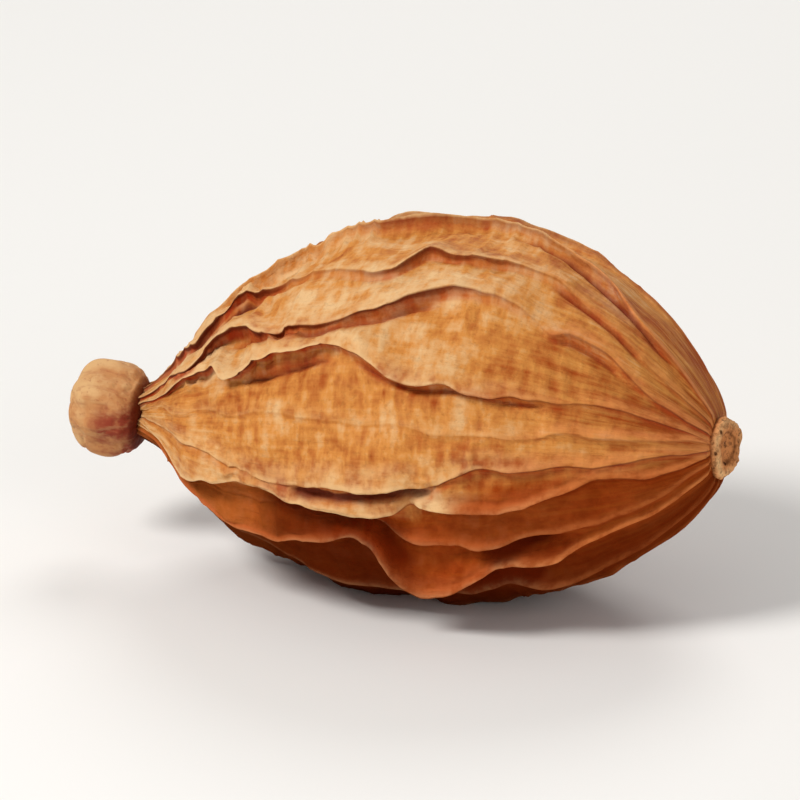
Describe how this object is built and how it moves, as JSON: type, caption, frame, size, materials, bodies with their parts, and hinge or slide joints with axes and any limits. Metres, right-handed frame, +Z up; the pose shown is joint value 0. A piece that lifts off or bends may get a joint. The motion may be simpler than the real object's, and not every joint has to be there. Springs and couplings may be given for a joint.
{
  "type": "dried amomum fruit",
  "caption": "Spindle-shaped dried amomum fruit with a leathery husk of wavy lengthwise ribs, the knob of the dried flower at one end and a corky stalk scar at the other.",
  "frame": {"origin": "centre of the fruit's box on the surface that it lies on", "axes": "+X along the fruit, from the flower knob to the stalk scar; +Z up from the surface that it lies on"},
  "size_m": [0.0276, 0.0152, 0.015],
  "materials": {
    "husk": "matte",
    "flower_knob": "matte",
    "stalk_scar": "matte"
  },
  "bodies": {
    "root": {"fruit": "husk"}
  },
  "joints": []
}
